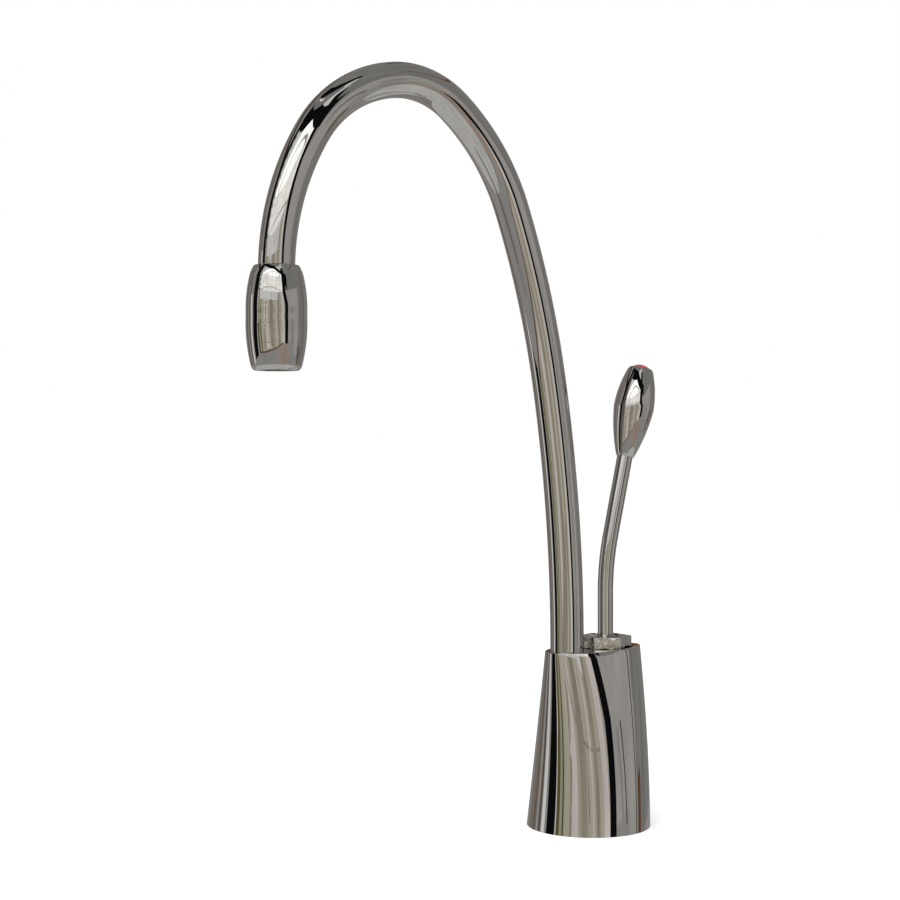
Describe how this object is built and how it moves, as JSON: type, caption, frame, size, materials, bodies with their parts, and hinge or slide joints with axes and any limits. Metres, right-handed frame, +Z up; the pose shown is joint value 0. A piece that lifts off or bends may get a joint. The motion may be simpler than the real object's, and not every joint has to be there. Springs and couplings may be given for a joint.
{
  "type": "boiling water tap",
  "caption": "Deck-mounted boiling water tap with a tapered round base, a swivelling swan-neck spout with a barrel nozzle and a spring-return push lever with a red-capped knob.",
  "frame": {"origin": "centre of the underside of the base, in the plane of the worktop's top, on the axis of the threaded shank", "axes": "+Z up, out of the worktop; the spout reaches out towards -Y at rest; the lever stands behind it and is pushed back towards +Y; X is across"},
  "size_m": [0.05, 0.1812, 0.3655],
  "materials": {
    "polished_chrome": "mirror-polished dark chrome, slightly warm",
    "brass": "machined",
    "steel": "fine brushed",
    "black_rubber": "matte",
    "white_plastic": "satin",
    "red_plastic": "glossy"
  },
  "bodies": {
    "base": {"base_shell": "polished_chrome", "valve_body": "brass", "spout_bush": "white_plastic", "spout_stop_screw": "steel", "bonnet_nut": "polished_chrome", "valve_cartridge": "brass", "cartridge_seal": "black_rubber", "cartridge_gasket": "black_rubber", "pivot_pin": "steel", "return_spring": "steel", "casing_screws": "steel", "threaded_shank": "brass", "base_gasket": "black_rubber", "fixing_rubber_washer": "black_rubber", "fixing_steel_washer": "steel", "fixing_nut": "brass", "cold_inlet_tail": "brass", "tank_feed_tail": "brass", "hot_return_tail": "brass"},
    "spout": {"spout_tube": "polished_chrome", "spout_foot": "brass", "upper_spout_seal": "black_rubber", "lower_spout_seal": "black_rubber", "outlet_nozzle": "polished_chrome", "nozzle_adaptor": "brass", "nozzle_seal": "black_rubber", "flow_straightener": "white_plastic"},
    "lever": {"lever_stem": "polished_chrome", "rocker_pad": "white_plastic", "lever_knob": "polished_chrome", "index_button": "red_plastic"},
    "plunger": {"valve_plunger": "brass", "plunger_seal": "black_rubber", "valve_washer": "black_rubber", "washer_nut": "brass"}
  },
  "joints": [
    {"name": "spout_swivel", "type": "hinge", "parent": "base", "child": "spout", "pos_m": [0, -0.0104, 0], "axis": [0, 0, 1], "range_deg": [-90, 90]},
    {"name": "lever_tilt", "type": "hinge", "parent": "base", "child": "lever", "pos_m": [0, 0.0085, 0.07053], "axis": [-1, 0, 0], "range_deg": [0, 12], "stiffness_Nm_per_rad": 0.0433, "springref_deg": -30.37},
    {"name": "plunger_slide", "type": "slide", "parent": "base", "child": "plunger", "axis": [0, 0, -1], "range_m": [0, 0.0008], "deforming": ["return_spring"]}
  ],
  "couplings": [
    {"joint": "plunger_slide", "follows": "lever_tilt", "m_per_rad": 0.0038}
  ]
}
